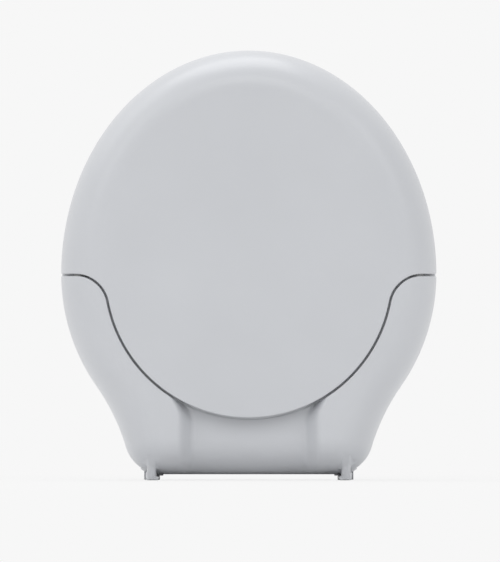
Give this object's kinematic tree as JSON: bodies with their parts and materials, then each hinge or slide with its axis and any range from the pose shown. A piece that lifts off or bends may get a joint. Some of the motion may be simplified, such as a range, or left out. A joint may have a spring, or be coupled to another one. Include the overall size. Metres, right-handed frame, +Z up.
{
  "type": "dental floss dispenser",
  "caption": "Pear-shaped pocket dental floss dispenser with a flip-top dome lid, thumb recess, hinged back door, floss spool and steel cutter.",
  "frame": {"origin": "on the table plane, under the middle of the whole object's box, which takes in the hinge barrel behind the case", "axes": "+Z up, -Y towards the viewer out of the front face, +X to the viewer's right"},
  "size_m": [0.05, 0.0185, 0.0572],
  "materials": {
    "case_plastic": "satin moulded light grey polypropylene",
    "inner_plastic": "moulded off-white polypropylene",
    "spool_plastic": "moulded natural white polypropylene",
    "cutter_steel": "stamped stainless strip",
    "pin_steel": "drawn stainless wire",
    "silk_floss": "waxed silk yarn"
  },
  "bodies": {
    "case": {"body": "case_plastic", "deck": "inner_plastic", "cutter": "cutter_steel", "lid_hinge_pin": "pin_steel", "cover_hinge_pin_left": "pin_steel", "cover_hinge_pin_right": "pin_steel", "floss_strand": "silk_floss"},
    "lid": {"lid": "case_plastic"},
    "rear_cover": {"rear_cover": "case_plastic"},
    "spool": {"spool": "spool_plastic", "floss_winding": "silk_floss"}
  },
  "joints": [
    {"name": "lid_hinge", "type": "hinge", "parent": "case", "child": "lid", "pos_m": [0, 0.008, 0.0273], "axis": [-1, 0, 0], "range_deg": [0, 100]},
    {"name": "rear_cover_hinge", "type": "hinge", "parent": "case", "child": "rear_cover", "pos_m": [0, 0.00275, 0.0008], "axis": [-1, 0, 0], "range_deg": [0, 90]},
    {"name": "spool_spin", "type": "hinge", "parent": "case", "child": "spool", "pos_m": [0, -0.00075, 0.01405], "axis": [0, 1, 0], "continuous": true}
  ]
}
